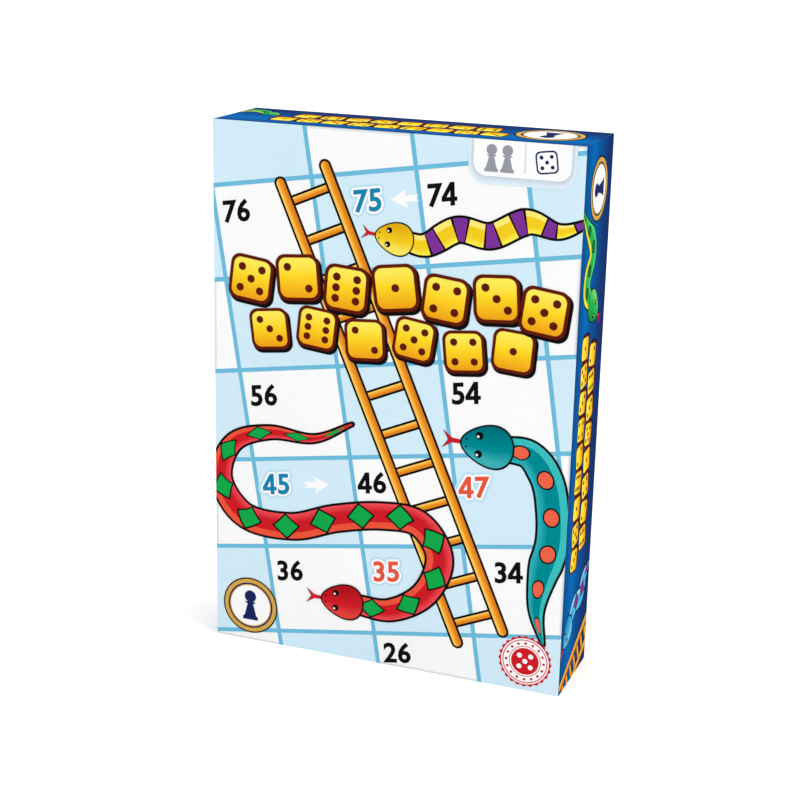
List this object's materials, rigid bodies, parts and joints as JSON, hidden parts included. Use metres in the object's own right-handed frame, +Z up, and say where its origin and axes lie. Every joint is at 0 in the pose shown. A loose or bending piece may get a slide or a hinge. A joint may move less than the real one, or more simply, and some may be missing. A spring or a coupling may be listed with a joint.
{
  "type": "boxed snakes and ladders game",
  "caption": "Telescoping cardboard game box, standing on its short edge, that holds a folding snakes and ladders board, rules sheet, card insert, pawns and a die.",
  "frame": {"origin": "middle of the footprint of the box as it stands on its short edge", "axes": "+Z up along the box's height, -Y out of the printed front, +X to the right of a viewer who faces the front"},
  "size_m": [0.184, 0.048, 0.267],
  "materials": {
    "greyboard": "matt",
    "lid_print": "coated, semi-gloss",
    "tray_paper": "coated, satin",
    "stay_tape": "matt",
    "white_card": "matt",
    "leaf_greyboard": "matt",
    "leaf_back_paper": "linen embossed",
    "right_board_print": "coated, satin",
    "left_board_print": "coated, satin",
    "hinge_cloth": "woven",
    "rules_paper": "matt",
    "red_plastic": "glossy",
    "blue_plastic": "glossy",
    "green_plastic": "glossy",
    "yellow_plastic": "glossy",
    "die_plastic": "glossy",
    "pip_paint": "matt"
  },
  "bodies": {
    "lid": {"lid_greyboard": "greyboard", "lid_wrap": "lid_print", "lid_corner_stays": "stay_tape"},
    "tray": {"tray_greyboard": "greyboard", "tray_wrap": "tray_paper", "tray_corner_stays": "stay_tape", "insert_card": "white_card"},
    "right_leaf": {"right_leaf_core": "leaf_greyboard", "right_leaf_paper": "leaf_back_paper", "right_leaf_face": "right_board_print", "right_leaf_cloth": "hinge_cloth"},
    "spine": {"spine_cloth": "hinge_cloth"},
    "left_leaf": {"left_leaf_core": "leaf_greyboard", "left_leaf_paper": "leaf_back_paper", "left_leaf_face": "left_board_print", "left_leaf_cloth": "hinge_cloth"},
    "rules": {"rules_sheet": "rules_paper"},
    "red_pawn": {"pawn_red": "red_plastic"},
    "blue_pawn": {"pawn_blue": "blue_plastic"},
    "green_pawn": {"pawn_green": "green_plastic"},
    "yellow_pawn": {"pawn_yellow": "yellow_plastic"},
    "die": {"die": "die_plastic", "die_pips": "pip_paint"}
  },
  "joints": [
    {"name": "tray_slide", "type": "slide", "parent": "lid", "child": "tray", "axis": [0, 1, 0], "range_m": [0, 0.75]},
    {"name": "board_slide", "type": "slide", "parent": "tray", "child": "right_leaf", "axis": [0, -1, 0], "range_m": [0, 0.2025]},
    {"name": "spine_fold", "type": "hinge", "parent": "right_leaf", "child": "spine", "pos_m": [-0.08545, -0.01105, 0.1316], "axis": [0, 0, -1], "range_deg": [0, 90]},
    {"name": "left_leaf_fold", "type": "hinge", "parent": "spine", "child": "left_leaf", "pos_m": [-0.08545, -0.01635, 0.1316], "axis": [0, 0, -1], "range_deg": [0, 90]},
    {"name": "rules_slide", "type": "slide", "parent": "tray", "child": "rules", "axis": [0, -1, 0], "range_m": [0, 0.12]},
    {"name": "red_pawn_slide", "type": "slide", "parent": "tray", "child": "red_pawn", "axis": [0, -1, 0], "range_m": [0, 0.06]},
    {"name": "blue_pawn_slide", "type": "slide", "parent": "tray", "child": "blue_pawn", "axis": [0, -1, 0], "range_m": [0, 0.06]},
    {"name": "green_pawn_slide", "type": "slide", "parent": "tray", "child": "green_pawn", "axis": [0, -1, 0], "range_m": [0, 0.06]},
    {"name": "yellow_pawn_slide", "type": "slide", "parent": "tray", "child": "yellow_pawn", "axis": [0, -1, 0], "range_m": [0, 0.06]},
    {"name": "die_slide", "type": "slide", "parent": "tray", "child": "die", "axis": [0, -1, 0], "range_m": [0, 0.06]}
  ],
  "couplings": [
    {"joint": "board_slide", "follows": "tray_slide", "ratio": 0.27},
    {"joint": "spine_fold", "follows": "tray_slide", "rad_per_m": 2.094},
    {"joint": "left_leaf_fold", "follows": "tray_slide", "rad_per_m": 2.094},
    {"joint": "rules_slide", "follows": "tray_slide", "ratio": 0.16},
    {"joint": "red_pawn_slide", "follows": "tray_slide", "ratio": 0.08},
    {"joint": "blue_pawn_slide", "follows": "tray_slide", "ratio": 0.08},
    {"joint": "green_pawn_slide", "follows": "tray_slide", "ratio": 0.08},
    {"joint": "yellow_pawn_slide", "follows": "tray_slide", "ratio": 0.08},
    {"joint": "die_slide", "follows": "tray_slide", "ratio": 0.08}
  ]
}
